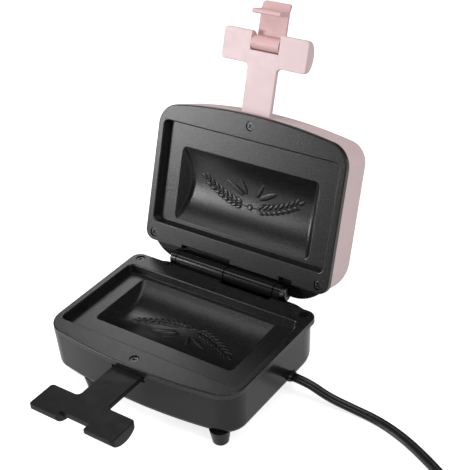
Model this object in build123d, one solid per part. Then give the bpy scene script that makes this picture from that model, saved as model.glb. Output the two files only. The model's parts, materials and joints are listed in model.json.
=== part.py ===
from build123d import *
from math import atan2, cos, degrees, pi, radians, sin, sqrt, tan
import os

# Pocket sandwich maker: two cast plates that face each other, each screwed into its own
# housing, hinged along the back and held shut by a latch on T-shaped handles.
# Millimetres, +X to the right along the hinge, +Y to the back, +Z up, feet on Z = 0.
# The model is at rest with the lid standing open and the latch unhooked.

# Plates
plate_width = 146.0
plate_depth = 101.6
front_bulge = 7.2
side_taper = 0.8
plate_front_corner = 15.5
plate_back_corner = 7.0
plate_wall = 3.0
skirt_height = 4.0
skirt_wall = 2.4
plate_gap = 2.0
rim_width = 5.3
well_front = 85.5
well_back = 13.8
well_corner = 4.0
well_depth = 5.5
well_draft = 16.0
trough_margin = 14.4
trough_front = 69.2
trough_back = 18.0
trough_depth = 9.0
trough_end_draft = 30.0
trough_corner = 4.0
well_edge_radius = 0.8
trough_edge_radius = 1.2
lip_height = 0.7
lip_width = 1.8

# Housings
shell_depth = 32.0
shell_wall = 2.2
shell_draft = 2.2
shell_edge_radius = 5.0
rear_overhang = 9.2
rear_corner = 26.0
seam_gap = 0.1
base_deck_drop = 6.5
lid_deck_drop = 4.6
lid_rear_band = 12.0
lid_band_start = 2.0

# Plate screws
screw_side_inset = 7.2
screw_back_inset = 5.7
screw_front_inset = 94.4
screw_head_radius = 3.1
screw_head_height = 1.6
screw_shank_radius = 1.5
screw_length = 11.0
screw_fit = 0.05
post_radius = 3.4
lug_thickness = 1.9
lug_radius = 4.5

# Feet
foot_height = 9.0
foot_top_radius = 6.6
foot_bottom_radius = 5.0
foot_root = 2.0
foot_rear_inset = 16.0
foot_right_inset = 14.2
foot_left_x = 39.0
foot_front_y = 91.6
foot_back_y = 8.5
pad_radius = 3.9
pad_socket = 1.2
pad_proud = 1.5

# Hinge
hinge_back = 6.5
barrel_radius = 5.0
pin_radius = 1.75
running_fit = 0.05
pin_seat_fit = 0.02
knuckle_gap = 0.8
left_end = -45.4
left_ear = 4.3
base_barrel_end = -2.3
lid_barrel_end = 36.6
right_ear = 4.8
pin_head_radius = 4.7
pin_head_height = 4.2
nut_radius = 3.2
nut_height = 1.3
web_behind = 1.8
hinge_notch = 2.7
notch_side = 0.5
stop_depth = 2.4
open_angle = 109.0

# Handles
handle_drop = 4.4
handle_half_width = 31.7
handle_back = 133.2
handle_front = 154.0
handle_corner = 2.4
handle_end_radius = 1.0
handle_thickness = 8.8
handle_side = 1.6
handle_wall = 2.0
cover_thickness = 1.2
stem_half_width = 11.0
stem_fillet = 3.0
stem_body = 1.6
tongue_end = 89.8
cover_end = 100.2
handle_fit = 0.15
stem_recess = 1.4

# Latch
latch_half_width = 10.2
latch_side_gap = 0.5
latch_axis_y = 146.8
latch_axis_drop = 8.2
latch_barrel_radius = 4.6
latch_plate = 2.0
hook_reach = 18.4
hook_thickness = 3.0
hook_tip = 7.9
tab_reach = 26.4
tab_flare = 1.9
latch_pin_radius = 1.25
latch_pin_half = 14.5
latch_clearance = 0.4

# Heating
heater_radius = 3.1
heater_margin = 6.3
heater_front = 78.8
heater_back = 19.0
heater_bend = 10.0
heater_pin_radius = 1.2
heater_pin_length = 5.0
shield_thickness = 0.8
shield_margin = 4.0
shield_pan_clearance = 0.1
thermostat_radius = 6.3
thermostat_height = 6.6
thermostat_x = -18.0
thermostat_y = 43.6
fuse_radius = 2.0
fuse_length = 18.0
fuse_x = 22.0
touch_gap = 0.1

# Wiring
wire_radius = 1.0
block_length = 20.0
block_width = 13.0
block_clearance = 0.8
feed_run = 7.0
lead_spread = 14.0
lead_turn = 25.0
clamp_length = 7.0
clamp_width = 15.0
clamp_bar = 1.6

# Pilot lamp in the lid
lamp_y = 76.0
lamp_radius = 3.4
lamp_proud = 1.0
lamp_flange = 1.2
lamp_body_length = 9.0
lamp_body_radius = 2.2

# Power cord: flat twin lead
cord_width = 6.6
cord_thickness = 3.4
cord_exit_y = 32.6
cord_exit_rise = 4.4
bushing_outside = 1.6
bushing_inside = 20.0
bushing_width = 8.6
bushing_height = 5.0
bushing_taper = 0.8
coil_outer = 44.0
coil_pitch = 7.4
coil_rise = 4.0
coil_half_turns = 4
coil_lead_out = 8.4
plug_width = 22.0
plug_length = 27.0
plug_nose_length = 12.0
blade_width = 6.35
blade_thickness = 1.5
blade_length = 17.5
blade_spacing = 12.7
blade_root = 6.0

well_half_width = plate_width / 2 - rim_width
trough_half_width = well_half_width - trough_margin
screw_back_x = plate_width / 2 - screw_side_inset
foot_rear_x = plate_width / 2 - foot_rear_inset
foot_right_x = plate_width / 2 - foot_right_inset
heater_side = well_half_width - heater_margin
face_z = shell_depth + foot_height
cord_exit_drop = shell_depth - cord_exit_rise
rim_drop = skirt_height + seam_gap
hinge_rise = plate_gap / 2
rear_y = rear_overhang
nodes = {}
cord_names = ("cord_bushing", "cord", "cord_coil", "plug_body", "plug_blades")


def plan(inset, back, back_corner):
    """Outline of a half seen from above: sides a little closer at the front, front edge a shallow arc."""
    half = plate_width / 2 - inset
    front_half = half - side_taper
    side_front = -(plate_depth - front_bulge) + inset
    edges = Line((-front_half, side_front), (-half, back - inset))
    edges += Line((-half, back - inset), (half, back - inset))
    edges += Line((half, back - inset), (front_half, side_front))
    edges += ThreePointArc((front_half, side_front), (0, inset - plate_depth), (-front_half, side_front))
    face = make_face(edges)
    corners = face.vertices().sort_by(Axis.Y)
    face = fillet(corners[:2], max(plate_front_corner - inset, 1.0))
    corners = [v for v in face.vertices().sort_by(Axis.Y) if v.Y > back - inset - 0.01]
    return fillet(corners, max(back_corner - inset, 1.0))


def rounded_box(x0, x1, y0, y1, z0, z1, radius=0.0):
    """Block between two corners, its upright edges rounded."""
    block = Pos((x0 + x1) / 2, (y0 + y1) / 2, (z0 + z1) / 2) * Box(x1 - x0, y1 - y0, z1 - z0)
    return fillet(block.edges().filter_by(Axis.Z), radius) if radius else block


def upright(x, y, z0, z1, radius):
    """Round post between two heights."""
    return Pos(x, y, (z0 + z1) / 2) * Cylinder(radius, z1 - z0)


def lying(x0, x1, y, z, radius):
    """Round bar along the hinge line's direction."""
    return Pos((x0 + x1) / 2, y, z) * Rot(Y=90) * Cylinder(radius, x1 - x0)


def tub(inset, top, bottom, edge_radius):
    """Tapered housing block with rounded lower edges."""
    lean = tan(radians(shell_draft))
    upper = Pos(0, 0, top) * plan(inset, rear_y, rear_corner)
    lower = Pos(0, 0, bottom) * plan(inset + (top - bottom) * lean, rear_y, rear_corner)
    block = loft([upper, lower], ruled=True)
    low_edges = block.faces().sort_by(Axis.Z)[0].edges()
    return fillet(low_edges, edge_radius)


def screw_places():
    """Plate screw positions: two by the hinge and one at the front."""
    return [
        (-screw_back_x, -screw_back_inset),
        (screw_back_x, -screw_back_inset),
        (0, -screw_front_inset),
    ]


def well_cutter(offset, depth):
    """Sandwich well with sloping walls, grown by an offset."""
    lean = depth * tan(radians(well_draft))
    corner = well_corner + offset
    sketches = []
    for level, shift in ((0.0, offset), (-depth, offset - lean)):
        rectangle = RectangleRounded(
            2 * (well_half_width + shift),
            well_front - well_back + 2 * shift,
            max(corner - (offset - shift), 1.0),
        )
        sketches.append(Pos(0, -(well_front + well_back) / 2, level) * rectangle)
    return loft(sketches, ruled=True)


def trough_cutter(offset):
    """Half-round trough below the well: part of a lying cylinder with sloping ends."""
    chord = (trough_front - trough_back) / 2
    radius = (chord**2 + trough_depth**2) / (2 * trough_depth) + offset
    middle_y = -(trough_front + trough_back) / 2
    centre_z = -well_depth - trough_depth + radius - offset
    full = lying(-plate_width / 2, plate_width / 2, middle_y, centre_z, radius)
    depth = trough_depth + offset
    lean = trough_depth * tan(radians(trough_end_draft))
    reach = trough_half_width + offset
    ends = Polyline(
        (-reach, -well_depth + touch_gap),
        (reach, -well_depth + touch_gap),
        (reach - lean, -well_depth - depth - touch_gap),
        (lean - reach, -well_depth - depth - touch_gap),
        close=True,
    )
    prism = extrude(Plane.XZ * make_face(ends), amount=plate_depth, both=True)
    cutter = full & prism
    corners = [
        edge
        for edge in cutter.edges()
        if abs(edge.center().X) > trough_half_width / 2 and abs(edge.center().Z + well_depth) > 1
    ]
    return fillet(corners, trough_corner + offset)


def mouth_edges(body, level, half, back, front):
    """Edges of a hollow's mouth: those at its level and within its plan."""
    return [
        edge
        for edge in body.edges()
        if abs(edge.center().Z - level) < 0.01
        and abs(edge.center().X) < half + 1
        and back - 1 < -edge.center().Y < front + 1
    ]


def plate(spans):
    """Cast cooking plate: skirted rim, sunk well and trough, screw seats, knuckle notches."""
    outline = plan(0, 0, plate_back_corner)
    slab = extrude(outline, amount=-plate_wall)
    skirt = extrude(outline, amount=-skirt_height)
    skirt -= extrude(plan(skirt_wall, 0, plate_back_corner), amount=-skirt_height)
    body = slab + skirt
    for x0, x1 in spans:
        wide = notch_side + skirt_wall
        body += rounded_box(x0 - wide, x1 + wide, -hinge_notch - skirt_wall, 0, -skirt_height, 0)
    for x0, x1 in spans:
        body -= rounded_box(x0 - notch_side, x1 + notch_side, -hinge_notch, 1, -2 * skirt_height, 1)
    body += well_cutter(plate_wall, well_depth + plate_wall)
    body += trough_cutter(plate_wall)
    for x, y in screw_places():
        body += upright(x, y, -plate_wall - screw_head_height, -plate_wall + touch_gap, post_radius)
    rim_edges = body.faces().sort_by(Axis.Z)[-1].outer_wire().edges()
    body = fillet(rim_edges, 0.8)
    body -= well_cutter(0, well_depth)
    body -= trough_cutter(0)
    for x, y in screw_places():
        body -= upright(x, y, -screw_head_height - lip_height, 0, screw_head_radius + screw_fit)
        body -= upright(x, y, -3 * plate_wall, 0, screw_shank_radius + screw_fit)
    trough_mouth = mouth_edges(body, -well_depth, trough_half_width, trough_back, trough_front)
    body = fillet(trough_mouth, trough_edge_radius)
    well_mouth = mouth_edges(body, 0, well_half_width, well_back, well_front)
    return fillet(well_mouth, well_edge_radius)


def plate_screw(x, y):
    """Cross-recessed pan screw in its seat, its head just under the plate face."""
    top = -lip_height
    screw = upright(x, y, top - screw_head_height, top, screw_head_radius)
    screw = fillet(screw.edges().group_by(Axis.Z)[-1], 0.6)
    screw += upright(x, y, top - screw_head_height - screw_length, top - screw_head_height, screw_shank_radius)
    for turn in (0, 90):
        screw -= Pos(x, y, top) * Rot(Z=turn + 45) * Box(3.4, 0.8, 1.6)
    return screw


def posts(body, block, floor, front_top, back_top):
    """Screw posts that stand on a housing's outer wall, kept within its outer form."""
    tops = (back_top, back_top, front_top)
    for (x, y), top in zip(screw_places(), tops):
        body += upright(x, y, floor, top, post_radius) & block
    for (x, y), top in zip(screw_places(), tops):
        body -= upright(x, y, top - screw_length, top, screw_shank_radius + pin_seat_fit)
    return body


def stem_notch(body, recess):
    """Opening in a housing's front wall for the handle stem, wider in the outer half of the wall."""
    notch_bottom = -handle_drop - cover_thickness - stem_body - handle_fit
    half = stem_half_width + handle_fit
    body -= rounded_box(-half, half, -plate_depth - 2, -tongue_end, notch_bottom, -rim_drop + 1)
    wide = half + recess
    wall_middle = shell_wall / 2 - plate_depth
    return body - rounded_box(-wide, wide, -plate_depth - 2, wall_middle, notch_bottom - recess, -rim_drop + 1)


def knuckle(x0, x1, deck_drop, bore):
    """Hinge knuckle with its web, standing on a rear deck below it."""
    piece = lying(x0, x1, hinge_back, hinge_rise, barrel_radius)
    piece += rounded_box(
        x0, x1, hinge_back - barrel_radius, hinge_back + web_behind, -deck_drop - shell_wall, hinge_rise
    )
    return piece - lying(x0 - 1, x1 + 1, hinge_back, hinge_rise, bore)


def knuckle_spans():
    """Hinge layout from left to right: lid ear, base barrel, lid barrel, base ear."""
    ear = (left_end, left_end + left_ear)
    base_barrel = (ear[1] + knuckle_gap, base_barrel_end)
    lid_barrel = (base_barrel[1] + knuckle_gap, lid_barrel_end)
    base_ear = (lid_barrel[1] + knuckle_gap, lid_barrel[1] + knuckle_gap + right_ear)
    return ear, base_barrel, lid_barrel, base_ear


def rear_zone(z0, z1, y0):
    """Strip of the housing outline behind the plate."""
    strip = extrude(Pos(0, 0, z0) * plan(0, rear_y, rear_corner), amount=z1 - z0)
    return strip & rounded_box(-plate_width, plate_width, y0, plate_width, z0, z1)


def rear_deck(drop, start):
    """Rear ledge that closes a housing behind the plate, with its riser under the plate."""
    deck = rear_zone(-drop - shell_wall, -drop, -start)
    inner = plate_width / 2 - shell_wall - touch_gap
    riser = rounded_box(-inner, inner, -start, 0, -drop - shell_wall, -rim_drop)
    return deck + (riser & rear_zone(-drop - shell_wall, -rim_drop, -start))


def open_housing(cut_drop):
    """Hollow housing with the wall behind the plate cut down to the deck."""
    body = tub(0, -rim_drop, -shell_depth, shell_edge_radius)
    return body, tub(
        shell_wall, -rim_drop + touch_gap, shell_wall - shell_depth, shell_edge_radius - shell_wall
    ), rounded_box(-plate_width, plate_width, 0, plate_width, -cut_drop, 0)


def foot_places():
    """Feet seen from above: front right, front left close to the stem, and two at the back."""
    return [
        (foot_right_x, -foot_front_y),
        (-foot_left_x, -foot_front_y),
        (-foot_rear_x, -foot_back_y),
        (foot_rear_x, -foot_back_y),
    ]


def base_shell():
    """Black lower housing with feet, hinge knuckles, posts and the lid stop."""
    block, inside, rear_cut = open_housing(base_deck_drop)
    body = block
    for x, y in foot_places():
        cone_height = foot_height - pad_proud + foot_root
        middle = -shell_depth + foot_root - cone_height / 2
        body += Pos(x, y, middle) * Cone(foot_bottom_radius, foot_top_radius, cone_height)
    body -= inside
    body -= rear_cut
    floor = shell_wall / 2 - shell_depth
    body += rear_deck(base_deck_drop, shell_wall) & block
    tongue_top = -handle_drop - cover_thickness - stem_body - touch_gap
    pad_bottom = -plate_wall - screw_head_height - touch_gap
    body = posts(body, block, floor, tongue_top, pad_bottom)
    for x, y in foot_places():
        socket_top = -shell_depth - foot_height + pad_proud + pad_socket
        body -= upright(x, y, -shell_depth - foot_height, socket_top, pad_radius + screw_fit)
    spans = knuckle_spans()
    for span in (spans[1], spans[3]):
        body += knuckle(span[0], span[1], base_deck_drop, pin_radius + pin_seat_fit)
    body += rounded_box(
        spans[1][0],
        spans[1][1],
        rear_y - stop_depth,
        rear_y,
        -base_deck_drop - shell_wall,
        -lid_deck_drop,
    )
    body -= lying(spans[1][0] - 1, spans[1][1] + 1, hinge_back, hinge_rise, pin_radius + pin_seat_fit)
    body = stem_notch(body, stem_recess)
    slot_half = bushing_width / 2 + touch_gap
    rise = bushing_height / 2 + touch_gap
    body -= rounded_box(
        slot_start(),
        plate_width,
        -cord_exit_y - slot_half,
        -cord_exit_y + slot_half,
        -cord_exit_drop - rise,
        -cord_exit_drop + rise,
    )
    return body


def lid_shell():
    """Pink upper housing, modelled upside down like the lower one."""
    block, inside, _ = open_housing(lid_deck_drop)
    body = block - inside
    band = rounded_box(
        -plate_width, plate_width, -lid_band_start, plate_width, -lid_rear_band, 0
    )
    body -= band
    floor = shell_wall / 2 - shell_depth
    tongue_top = -handle_drop - cover_thickness - stem_body - touch_gap
    lug_bottom = -plate_wall - screw_head_height - lug_thickness - 2 * touch_gap
    body = posts(body, block, floor, tongue_top, lug_bottom)
    body = stem_notch(body, 0)
    return body - upright(0, -lamp_y, -shell_depth - 1, floor + shell_wall, lamp_radius + screw_fit)


def lid_frame():
    """Black rear band of the lid with its deck, screw lugs and hinge knuckles."""
    start = lid_band_start - seam_gap
    frame = rear_zone(-lid_rear_band + seam_gap, -rim_drop, -start)
    frame -= extrude(plan(shell_wall, rear_y, rear_corner), amount=-2 * lid_rear_band)
    frame += rear_deck(lid_deck_drop, start)
    frame -= rounded_box(-plate_width, plate_width, 0, plate_width, -lid_deck_drop, 0)
    pad_bottom = -plate_wall - screw_head_height - touch_gap
    interior = plan(shell_wall + 2 * touch_gap, rear_y, rear_corner)
    interior = extrude(Pos(0, 0, pad_bottom - lug_thickness) * interior, amount=lug_thickness)
    for x, y in screw_places()[:2]:
        lug = upright(x, y, pad_bottom - lug_thickness, pad_bottom, lug_radius)
        lug += rounded_box(x - lug_radius, x + lug_radius, y, 0, pad_bottom - lug_thickness, pad_bottom)
        frame += lug & interior
    spans = knuckle_spans()
    for span in (spans[0], spans[2]):
        frame += knuckle(span[0], span[1], lid_deck_drop, pin_radius + running_fit)
    for x, y in screw_places()[:2]:
        frame -= upright(x, y, -lid_rear_band, 0, screw_shank_radius + screw_fit)
    return frame


def handle_profile(drop, thickness, side):
    """Section of the grip bar: flat face, short sides and a rounded outer side."""
    half = (handle_front - handle_back) / 2
    centre = -(handle_front + handle_back) / 2
    outer = -drop - thickness
    section = Line((centre - half, -drop - side), (centre - half, -drop))
    section += Line((centre - half, -drop), (centre + half, -drop))
    section += Line((centre + half, -drop), (centre + half, -drop - side))
    section += EllipticalCenterArc(
        (centre, -drop - side), half, outer * -1 - drop - side, start_angle=180, arc_size=180
    )
    return make_face(section)


def grip_bar():
    """Cross bar of a handle: rounded along its outer side, with flat ends."""
    half = handle_half_width
    profile = Plane.YZ * handle_profile(handle_drop, handle_thickness, handle_side)
    bar = extrude(profile, amount=half, both=True)
    for end in (0, -1):
        rim = bar.faces().sort_by(Axis.X)[end].edges().filter_by(GeomType.LINE, reverse=True)
        bar = fillet(rim, handle_end_radius)
    centre = (handle_front + handle_back) / 2
    limit = RectangleRounded(2 * half, handle_front - handle_back, handle_corner)
    return bar & extrude(Pos(0, -centre, 0) * limit, amount=-face_z)


def handle_plan(stem_end):
    """T outline of a handle: bar and stem joined by fillets."""
    centre = (handle_front + handle_back) / 2
    bar = Pos(0, -centre) * RectangleRounded(
        2 * handle_half_width, handle_front - handle_back, handle_corner
    )
    stem_middle = -(centre + stem_end) / 2
    outline = bar + Pos(0, stem_middle) * Rectangle(2 * stem_half_width, centre - stem_end)
    inner = [v for v in outline.vertices() if abs(v.Y + handle_back) < 0.01 and abs(v.X) < stem_half_width + 1]
    return fillet(inner, stem_fillet)


def handle_parts(lower):
    """Handle body and its flat cover, one half of the grip."""
    cover_bottom = -handle_drop - cover_thickness
    stem_bottom = cover_bottom - stem_body
    cover = extrude(Pos(0, 0, -handle_drop) * handle_plan(cover_end), amount=-cover_thickness)
    cover = fillet(cover.faces().sort_by(Axis.Z)[-1].edges(), 0.6)
    stem = extrude(Pos(0, 0, cover_bottom - seam_gap) * handle_plan(tongue_end), amount=seam_gap - stem_body)
    body = grip_bar() & rounded_box(
        -plate_width, plate_width, -2 * plate_depth, 0, -face_z, cover_bottom - seam_gap
    )
    inner_half = handle_half_width - 2 * handle_wall
    wall_x = latch_half_width + latch_side_gap + handle_wall
    pocket_bottom = -handle_drop - handle_thickness + 2 * handle_wall
    for side in (-1, 1):
        x0, x1 = sorted((side * wall_x, side * inner_half))
        body -= rounded_box(
            x0,
            x1,
            -handle_front + 1.6 * handle_wall,
            -handle_back - 1.6 * handle_wall,
            pocket_bottom,
            cover_bottom,
            1.5,
        )
    body += stem
    half = latch_half_width + latch_side_gap
    if lower:
        front_cut = -(latch_axis_y + latch_barrel_radius - latch_plate - latch_clearance)
        hook_top = -(hook_reach - latch_axis_drop - plate_gap) + latch_clearance
        notch = rounded_box(-half, half, -handle_front - 1, front_cut, -face_z, 0)
        pocket = rounded_box(
            -half, half, -handle_front - 1, -(latch_axis_y - hook_tip - latch_clearance), -face_z, hook_top
        )
        return body - notch - pocket, cover - notch
    notch = rounded_box(
        -half,
        half,
        -handle_front - 1,
        -(latch_axis_y - latch_barrel_radius - latch_clearance),
        -face_z,
        0,
    )
    bore = lying(
        -latch_pin_half, latch_pin_half, -latch_axis_y, -latch_axis_drop, latch_pin_radius + pin_seat_fit
    )
    return body - notch - bore, cover - notch


def handle_bore(body):
    """Screw hole through the tongue that the front plate screw holds."""
    x, y = screw_places()[2]
    return body - upright(x, y, -face_z / 2, 0, screw_shank_radius + screw_fit)


def latch():
    """Latch: barrel on its pin, flat arm, hook and flared finger tab."""
    axis_y, axis_z = -latch_axis_y, -latch_axis_drop
    outer = axis_z - latch_barrel_radius
    inner = outer + latch_plate
    arm = Polyline(
        (axis_y, inner),
        (axis_y - hook_reach, inner),
        (axis_y - hook_reach, axis_z + hook_tip),
        (axis_y - hook_reach - hook_thickness, axis_z + hook_tip),
        (axis_y - hook_reach - hook_thickness, inner),
        (axis_y - tab_reach, inner - tab_flare),
        (axis_y - tab_reach, outer - tab_flare),
        (axis_y - hook_reach - hook_thickness, outer),
        (axis_y, outer),
        close=True,
    )
    body = extrude(Plane.YZ * make_face(arm), amount=latch_half_width, both=True)
    tip = body.edges().filter_by(Axis.X).sort_by(Axis.Z)[-2:]
    body = fillet(tip, hook_thickness * 0.4)
    tab = body.edges().filter_by(Axis.Z).sort_by(Axis.Y)[:2]
    body = fillet(tab, 2.0)
    body += lying(-latch_half_width, latch_half_width, axis_y, axis_z, latch_barrel_radius)
    bore = latch_pin_radius + running_fit
    return body - lying(-plate_width, plate_width, axis_y, axis_z, bore)


def latch_pin():
    """Pin of the latch, pressed into the handle's side walls."""
    return lying(-latch_pin_half, latch_pin_half, -latch_axis_y, -latch_axis_drop, latch_pin_radius)


def hinge_pin():
    """Long screw through all knuckles, its cross-recessed head at the right."""
    end = knuckle_spans()[3][1] + seam_gap
    pin = lying(left_end - nut_height - seam_gap, end, hinge_back, hinge_rise, pin_radius)
    head = lying(end, end + pin_head_height, hinge_back, hinge_rise, pin_head_radius)
    head = fillet(head.edges().sort_by(Axis.X)[-1], 1.2)
    for turn in (0, 90):
        slot = Pos(end + pin_head_height, hinge_back, hinge_rise) * Rot(X=turn)
        head -= slot * Box(3.2, 4.6, 1.1)
    return pin + head


def hinge_nut():
    """Push-on nut at the pin's left end."""
    x1 = left_end - seam_gap
    nut = lying(x1 - nut_height, x1, hinge_back, hinge_rise, nut_radius)
    return nut - lying(x1 - 2 * nut_height, x1 + 1, hinge_back, hinge_rise, pin_radius + pin_seat_fit)


def heater_z():
    """Height of the heating tube, close under the well's floor."""
    return -well_depth - plate_wall - heater_radius - touch_gap


def heater():
    """U-shaped heating tube round the trough, with its cold pins."""
    z = heater_z()
    corners = [
        (-heater_side, -heater_back, z),
        (-heater_side, -heater_front, z),
        (heater_side, -heater_front, z),
        (heater_side, -heater_back, z),
    ]
    path = FilletPolyline(*corners, radius=heater_bend)
    tube = sweep(Plane(origin=corners[0], z_dir=(0, -1, 0)) * Circle(heater_radius), path=path)
    for x, y, _ in (corners[0], corners[-1]):
        pin = Pos(x, y + heater_pin_length / 2, z) * Rot(X=90) * Cylinder(heater_pin_radius, heater_pin_length)
        tube += pin
    return tube


def pan_under():
    """Underside height of the shield's pan, with room for the fuse under the trough."""
    trough_low = -well_depth - trough_depth - plate_wall
    return trough_low - 2 * fuse_radius - touch_gap - shield_pan_clearance - shield_thickness


def heat_shield():
    """Pressed sheet under the heating tube, with a pan round the trough."""
    z = heater_z() - heater_radius - touch_gap
    front = well_front + plate_wall - shield_margin / 2
    back = well_back
    side = well_half_width - shield_margin / 4
    pan_floor = pan_under()
    pan_half = trough_half_width + plate_wall - heater_radius / 4
    pan_front = trough_front + plate_wall
    rim = rounded_box(-side, side, -front, -back, z - shield_thickness, z, 3.0)
    pan = rounded_box(-pan_half, pan_half, -pan_front, -back, pan_floor, z, 3.0)
    hollow = rounded_box(
        -pan_half + shield_thickness,
        pan_half - shield_thickness,
        -pan_front + shield_thickness,
        -back - shield_thickness,
        pan_floor + shield_thickness,
        z + 1,
        2.2,
    )
    sheet = rim + pan - hollow
    window = upright(thermostat_x, -thermostat_y, pan_floor - 1, z, thermostat_radius + 1.5)
    return sheet - window


def thermostat():
    """Round snap thermostat against the trough, with its two tabs."""
    top = -well_depth - trough_depth - plate_wall - touch_gap
    body = upright(thermostat_x, -thermostat_y, top - thermostat_height, top, thermostat_radius)
    body = fillet(body.edges().group_by(Axis.Z)[0], 0.8)
    for side in (-1, 1):
        x = thermostat_x + side * (thermostat_radius - 2)
        body += rounded_box(
            x - 0.4,
            x + 0.4,
            -thermostat_y - 2,
            -thermostat_y + 2,
            top - thermostat_height - 2.4,
            top - thermostat_height + 0.5,
        )
    return body


def thermal_fuse():
    """Sleeved one-shot fuse lying under the trough."""
    top = -well_depth - trough_depth - plate_wall - touch_gap
    z = top - fuse_radius
    body = Pos(fuse_x, -thermostat_y, z) * Rot(Y=90) * Cylinder(fuse_radius, fuse_length)
    return fillet(body.edges().filter_by(GeomType.CIRCLE), 0.6)


def block_place():
    """Middle, floor height and height of the terminal block under the shield's pan."""
    floor = shell_wall - shell_depth + touch_gap
    return bushing_ends()[0] - feed_run - block_width / 2, floor, pan_under() - block_clearance - floor


def terminal_block():
    """Two-way terminal block on the lower housing's floor."""
    block_x, floor, block_height = block_place()
    y = -cord_exit_y
    block = rounded_box(
        block_x - block_width / 2,
        block_x + block_width / 2,
        y - block_length / 2,
        y + block_length / 2,
        floor,
        floor + block_height,
        1.0,
    )
    for side in (-1, 1):
        hole_y = y + side * block_length / 4
        block -= lying(block_x - block_width, block_x + block_width, hole_y, floor + block_height / 2, 1.4)
        block -= upright(block_x, hole_y, floor + block_height / 2, floor + block_height + 1, 1.6)
    return block


def slot_start():
    """Inner end of the slot that holds the bushing in the right wall."""
    return plate_width / 2 - shell_edge_radius - shell_wall


def bushing_ends():
    """Inner end, outer end and height of the cord bushing."""
    outer = plate_width / 2 - (cord_exit_drop - rim_drop) * tan(radians(shell_draft)) + bushing_outside
    return outer - bushing_outside - bushing_inside, outer, -cord_exit_drop


def flat_section(width, height):
    """Flat lead section: a slot shape with round sides."""
    return SlotOverall(width, height)


def cord_bushing():
    """Strain relief of the cord: slim inside, thick in the slot of the wall, tapered outside."""
    inner, outer, z = bushing_ends()

    def facing(x):
        return Plane(origin=(x, -cord_exit_y, z), x_dir=(0, 1, 0), z_dir=(1, 0, 0))

    slim = flat_section(cord_width + bushing_taper, cord_thickness + bushing_taper)
    thick = flat_section(bushing_width, bushing_height)
    tip = flat_section(bushing_width - bushing_taper, bushing_height - bushing_taper)
    wall = slot_start() + touch_gap
    body = extrude(facing(inner) * slim, amount=wall - inner)
    body += extrude(facing(wall) * thick, amount=outer - bushing_outside - wall)
    return body + loft([facing(outer - bushing_outside) * thick, facing(outer) * tip], ruled=True)


def cord_clamp():
    """Saddle over the bushing's inner end, standing on the housing's floor."""
    inner, _, z = bushing_ends()
    floor = shell_wall - shell_depth + touch_gap
    x = inner + clamp_length / 2
    y = -cord_exit_y
    top = z + bushing_height / 2 + clamp_bar + touch_gap
    saddle = rounded_box(
        x - clamp_length / 2, x + clamp_length / 2, y - clamp_width / 2, y + clamp_width / 2, floor, top, 1.0
    )
    gap = bushing_width + 2 * touch_gap
    opening = rounded_box(
        x - clamp_length,
        x + clamp_length,
        y - gap / 2,
        y + gap / 2,
        floor - 1,
        z + bushing_height / 2 + touch_gap,
    )
    return saddle - opening


def wire(points, bend):
    """Insulated lead along straight runs joined by bends."""
    path = FilletPolyline(*points, radius=bend)
    start = Vector(*points[0])
    plane = Plane(origin=start, z_dir=Vector(*points[1]) - start)
    return sweep(plane * Circle(wire_radius), path=path)


def base_wiring():
    """Leads from the cord to the terminal block and from it to the heating tube's pins."""
    z = heater_z()
    block_x, floor, block_height = block_place()
    low = floor + block_height / 2
    pin_y = -heater_back + heater_pin_length + touch_gap
    near, far = block_x - block_width / 2 - touch_gap, block_x + block_width / 2 + touch_gap
    inner = bushing_ends()[0]
    leads = []
    for side in (-1, 1):
        y = -cord_exit_y + side * block_length / 4
        pin_x = side * heater_side
        turn_x = near - 8 + 3 * side
        turn_y = pin_y + 4 + 1.5 * side
        leads.append(
            wire(
                [
                    (near, y, low),
                    (turn_x, y, low),
                    (turn_x, turn_y, low),
                    (pin_x * 0.85, turn_y, low + 3),
                    (pin_x, pin_y + 3.5, z),
                    (pin_x, pin_y, z),
                ],
                1.4,
            )
        )
        feed_y = -cord_exit_y + side * cord_width / 4
        leads.append(
            wire(
                [
                    (inner - touch_gap, feed_y, -cord_exit_drop),
                    (inner - 1.8, feed_y, -cord_exit_drop),
                    (far + 1.8, y, low),
                    (far, y, low),
                ],
                0.8,
            )
        )
    return leads


def lid_wiring():
    """Leads from the heating tube's pins of the lid to its pilot lamp."""
    z = heater_z()
    pin_y = -heater_back + heater_pin_length + touch_gap
    low = pan_under() - 3 * wire_radius
    leads = []
    for side in (-1, 1):
        x = side * heater_side
        leads.append(
            wire(
                [
                    (x, pin_y, z),
                    (x, pin_y + 3.5, z),
                    (x * 0.85, pin_y + 4.5, z - 5),
                    (side * lead_spread, pin_y + 4, low),
                    (side * 1.1, -well_back - lead_turn, low),
                    (side * 1.1, -lamp_y + lamp_body_radius + touch_gap, low),
                ],
                1.4,
            )
        )
    return leads


def lamp_lens():
    """Domed lens of the pilot lamp, seated in the lid's outer face."""
    outer = -shell_depth
    lens = upright(0, -lamp_y, outer - lamp_proud, outer + shell_wall, lamp_radius)
    lens = fillet(lens.edges().group_by(Axis.Z)[0], lamp_proud * 0.8)
    inside = outer + shell_wall + touch_gap
    return lens + upright(0, -lamp_y, outer + shell_wall - 0.5, inside, lamp_radius) + upright(
        0, -lamp_y, inside, inside + lamp_flange, lamp_radius + 1.2
    )


def pilot_lamp():
    """Small lamp behind the lens."""
    start = -shell_depth + shell_wall + lamp_flange + 2 * touch_gap
    bulb = upright(0, -lamp_y, start, start + lamp_body_length - lamp_flange - 3 * touch_gap, lamp_body_radius)
    return fillet(bulb.edges().group_by(Axis.Z)[0], 1.0)


def feet_pads():
    """Four rubber pads in the sockets of the feet."""
    pads = []
    bottom = -shell_depth - foot_height
    for x, y in foot_places():
        pad = upright(x, y, bottom, bottom + pad_proud + pad_socket - touch_gap, pad_radius)
        pads.append(fillet(pad.edges().group_by(Axis.Z)[0], 0.5))
    return pads


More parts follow.
